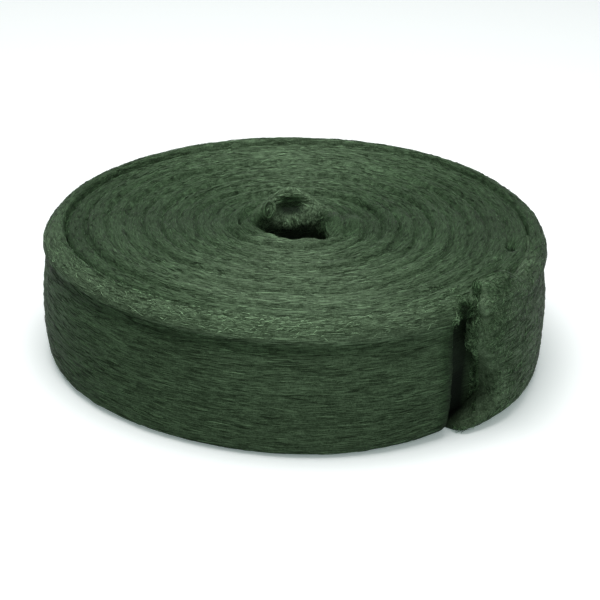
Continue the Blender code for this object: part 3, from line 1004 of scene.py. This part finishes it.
def curl_piece(settings, name, seed, count, tone):
    """A loop of fibres that stands at the left of the core's mouth."""
    rng = np.random.default_rng(seed)
    start = rng.uniform(0.0, math.tau, (count, 1))
    angle = start + rng.uniform(1.4, 2.6, (count, 1)) * np.linspace(0.0, 1.0, FIBRE_POINTS)
    size = np.sqrt(rng.uniform(0.08, 1.15, (count, 1)))
    wide, tall = np.array(CURL_WIDE), np.array(CURL_TALL)
    points = (size * np.cos(angle))[..., None] * wide + (size * np.sin(angle))[..., None] * tall
    points = points + CURL_PLACE + rng.normal(0.0, 0.0005, (count, 1, 3))
    facing = np.cross(wide, tall)
    normals = np.broadcast_to(facing / np.linalg.norm(facing), points.shape)
    mesh = fibre_mesh(name, points, normals, rng.uniform(0.0003, 0.0006, count), np.zeros(count))
    finish_piece(mesh, fibre_material(name + "_wool", settings, tone))


def number(name, description, default, **options):
    return FloatProperty(name=name, description=description, default=default, **options)


def share(name, description, default):
    return number(name, description, default, min=0.0, max=1.0)


def colour(name, description, default):
    limits = dict(min=0.0, max=1.0, subtype="COLOR")
    return FloatVectorProperty(name=name, description=description, default=default, **limits)


class WoolFinish(bpy.types.PropertyGroup):
    """Colours and gloss of the wool."""

    dark_colour: colour("Hollow colour", "Wool in the hollows between fibres", (0.012, 0.023, 0.01))
    light_colour: colour("Fibre colour", "Wool on the raised fibres", (0.11, 0.172, 0.1))
    metallic: share("Metallic", "Share of bare metal", 0.12)
    roughness: share("Roughness", "Mean roughness", 0.65)
    specular: share("Oil sheen", "Sheen of the oil film", 0.08)
    fibre_metallic: share("Fibre metallic", "Share of bare metal on single fibres", 0.25)
    fibre_roughness: share("Fibre roughness", "Roughness of single fibres", 0.35)
    # The glint paints the palest fibres brighter: painted glints
    glint: number("Glint", "Brightness of the palest fibres", 2.1, min=0.0)


class StudioSettings(bpy.types.PropertyGroup):
    """The floor, the lights and the camera."""

    camera_distance: number("Camera distance", "From the roll's middle", 1.536, unit="LENGTH")
    camera_elevation: number("Camera elevation", "Above the floor", math.radians(24.2), subtype="ANGLE")
    camera_roll: number("Camera roll", "Tilt of the picture", math.radians(0.75), subtype="ANGLE")
    lens: number("Lens", "Focal length in millimetres", 122.8, unit="CAMERA")
    world_light: number("Sky light", "Strength of the sky", 0.36, min=0.0)
    key_power: number("Key light", "Power of the overhead light", 19.0, unit="POWER")


def added_object(name, data):
    item = bpy.data.objects.new(name, data)
    bpy.context.scene.collection.objects.link(item)
    return item


def finish_piece(mesh, material):
    mesh.shade_smooth()
    mesh.materials.append(material)
    piece = added_object(mesh.name, mesh)
    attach(piece, "root")
    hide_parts("wool_roll")


class WOOL_OT_wound_turns(bpy.types.Operator):
    """Builds the turns of the ribbon, clinging together, with soft grooves between them"""

    bl_idname = "wool.wound_turns"
    bl_label = "Wound turns"

    def execute(self, context):
        place = np.linspace(0.0, 1.0, ROLL_STATIONS + 1)
        radii, heights = roll_sections(place)
        mesh = welded_mesh("wound_turns", placed(place[:, None], radii, heights))
        displaced(mesh)
        finish_piece(mesh, wool_material("wound_wool", context.scene.wool_finish))
        return {"FINISHED"}


class WOOL_OT_loose_end(bpy.types.Operator):
    """Builds the torn, loose end of the ribbon that stands off the roll"""

    bl_idname = "wool.loose_end"
    bl_label = "Loose end"

    def execute(self, context):
        length = turns_in(LOOSE_LENGTH * LOOSE_OVERLAP)
        turn = length * np.linspace(0.0, 1.0, LOOSE_STATIONS) ** LOOSE_CROWDING
        sunk = LOOSE_SINK * smooth_step(turn, LOOSE_SINK_START * length, length)
        top = top_height(turn) - sunk
        outer = face_radius(turn) + LOOSE_SWELL * rise_and_fall(turn, LOOSE_SWELL_LENGTHS) - sunk
        radii, heights = outer_face(outer, turn, top)
        back = self.back_radii(turn, radii, heights, top)
        radii = np.concatenate([radii, back[:, ::-1]], -1)
        heights = np.maximum(np.concatenate([heights, heights[:, ::-1]], -1), sunk[:, None])
        middle = 0.5 * (radii + radii[:, ::-1])
        from_ends = np.minimum(turn, length - turn) / turns_in(TIP_ROUND)
        fullness = np.sqrt(1.0 - (1.0 - np.clip(from_ends, 0.0, 1.0)) ** 2)
        radii = middle + (radii - middle) * fullness[:, None]
        near_end = 1.0 - smooth_step(turn, 0.0, TEAR_REACH * turns_in(LOOSE_LENGTH))
        drawn_back = turn[:, None] + turns_in(torn_edge(heights)) * near_end[:, None]
        mesh = welded_mesh("loose_end", placed(drawn_back, radii, heights))
        displaced(mesh)
        looks = dict(fuzz=0.72, paler=1.65, blotches=0.25)
        finish_piece(mesh, wool_material("loose_wool", context.scene.wool_finish, **looks))
        return {"FINISHED"}

    def back_radii(self, turn, radii, heights, top):
        """Radii of the face towards the roll, with its rounded edges and the toe at its foot."""
        lift = LOOSE_LIFT * (1.0 - smooth_step(turn, 0.0, turns_in(LOOSE_LENGTH)))
        foot_edge, top_edge = EDGE_ROUNDS
        below_top = smooth_step(heights, top[:, None] - top_edge, top[:, None])
        rounding = smooth_step(heights, 0.0, foot_edge) * (1.0 - below_top)
        near_tip = 1.0 - smooth_step(turn, 0.0, turns_in(TOE_LENGTH))
        toe = (1.0 - smooth_step(heights, *TOE_HEIGHTS)) * near_tip[:, None]
        back = (face_radius(turn + 1.0) + lift)[:, None] + EDGE_THINNING * (1.0 - rounding) - TOE_REACH * toe
        return np.minimum(back, radii - LEAST_THICKNESS)


class WOOL_OT_fibres(bpy.types.Operator):
    """Lays the single fibres on the top, the wall, the loose end and in the core"""

    bl_idname = "wool.fibres"
    bl_label = "Fibres"

    def execute(self, context):
        settings = context.scene.wool_finish
        tree = surface_tree(("wound_turns", "loose_end"))
        for piece in FIBRE_PIECES:
            fibre_piece(tree, settings, *piece)
        curl_piece(settings, "core_curl", 110, 150, 1.4)
        return {"FINISHED"}


def seen_directly(shader):
    """1 for the camera's rays and for those of reflections, and 0 for the light that falls on things."""
    path = shader.node("ShaderNodeLightPath", {})
    kinds = ("Is Camera Ray", "Is Glossy Ray", "Is Transmission Ray")
    camera, glossy, through = (Term(shader, path.outputs[kind]) for kind in kinds)
    return camera.math("MAXIMUM", glossy).math("MAXIMUM", through)


class WOOL_OT_studio(bpy.types.Operator):
    """Sets the pale floor, the soft lights and the camera"""

    bl_idname = "wool.studio"
    bl_label = "Studio"

    def execute(self, context):
        settings = context.scene.wool_studio
        context.scene.view_settings.view_transform = "Standard"
        self.make_floor()
        self.make_sky(settings)
        self.make_lights(settings)
        self.make_camera(settings)
        return {"FINISHED"}

    def make_floor(self):
        mesh = bpy.data.meshes.new("floor")
        body = bmesh.new()
        bmesh.ops.create_grid(body, x_segments=1, y_segments=1, size=FLOOR_HALF_SIZE)
        body.to_mesh(mesh)
        body.free()
        shader = Shader("floor_paper")
        seen = seen_directly(shader)
        colour = shader.mix(seen, (*FLOOR_LIT, 1.0), (1.0, 1.0, 1.0, 1.0))
        glow = shader.mix(seen, (0.0, 0.0, 0.0, 1.0), (*FLOOR_GLOW, 1.0))
        shader.set(Base_Color=colour, Roughness=0.9, Emission_Color=glow, Emission_Strength=1.0)
        mesh.materials.append(shader.material)
        added_object("floor", mesh)

    def make_sky(self, settings):
        world = bpy.data.worlds.new("studio_sky")
        world.use_nodes = True
        sky = Shader.on_tree(world.node_tree)
        seen = seen_directly(sky)
        background = world.node_tree.nodes["Background"]
        background.inputs["Color"].default_value = (1.0, 1.0, 1.0, 1.0)
        sky.feed(background.inputs["Strength"], settings.world_light + (1.0 - settings.world_light) * seen)
        bpy.context.scene.world = world

    def make_lights(self, settings):
        for name, place, size, power in LAMPS:
            lamp = bpy.data.lights.new(name, "AREA")
            lamp.shape = "DISK"
            lamp.size = size
            lamp.energy = power * settings.key_power
            light = added_object(name, lamp)
            light.location = place
            light.rotation_euler = (Vector(place) * -1.0).to_track_quat("-Z", "Y").to_euler()

    def make_camera(self, settings):
        data = bpy.data.cameras.new("camera")
        data.sensor_width = 36.0
        data.lens = settings.lens
        camera = added_object("camera", data)
        elevation = settings.camera_elevation
        middle = Vector((0.0, 0.0, 0.5 * RIBBON_WIDTH))
        place = middle + settings.camera_distance * Vector((0.0, -math.cos(elevation), math.sin(elevation)))
        turned = (Vector(CAMERA_AIM) - place).to_track_quat("-Z", "Y").to_matrix().to_4x4()
        camera.matrix_world = Matrix.Translation(place) @ turned @ Matrix.Rotation(settings.camera_roll, 4, "Z")
        bpy.context.scene.camera = camera


class WOOL_PT_panel(bpy.types.Panel):
    """Lists the steps that dress the roll."""

    bl_label = "Wool Roll"
    bl_idname = "WOOL_PT_panel"
    bl_space_type = "VIEW_3D"
    bl_region_type = "UI"
    bl_category = "Wool Roll"

    def draw(self, context):
        for operator in OPERATORS:
            self.layout.operator(operator.bl_idname)
        for settings in (context.scene.wool_finish, context.scene.wool_studio):
            for name in settings.bl_rna.properties.keys():
                if name not in ("rna_type", "name"):
                    self.layout.prop(settings, name)


OPERATORS = (WOOL_OT_wound_turns, WOOL_OT_loose_end, WOOL_OT_fibres, WOOL_OT_studio)
CLASSES = (WoolFinish, StudioSettings, *OPERATORS, WOOL_PT_panel)


def register():
    for cls in CLASSES:
        bpy.utils.register_class(cls)
    bpy.types.Scene.wool_finish = PointerProperty(type=WoolFinish)
    bpy.types.Scene.wool_studio = PointerProperty(type=StudioSettings)


def unregister():
    del bpy.types.Scene.wool_studio
    del bpy.types.Scene.wool_finish
    for cls in reversed(CLASSES):
        bpy.utils.unregister_class(cls)


def main():
    register()
    bpy.ops.wool.wound_turns()
    bpy.ops.wool.loose_end()
    bpy.ops.wool.fibres()
    bpy.ops.wool.studio()


if __name__ == "__main__":
    main()
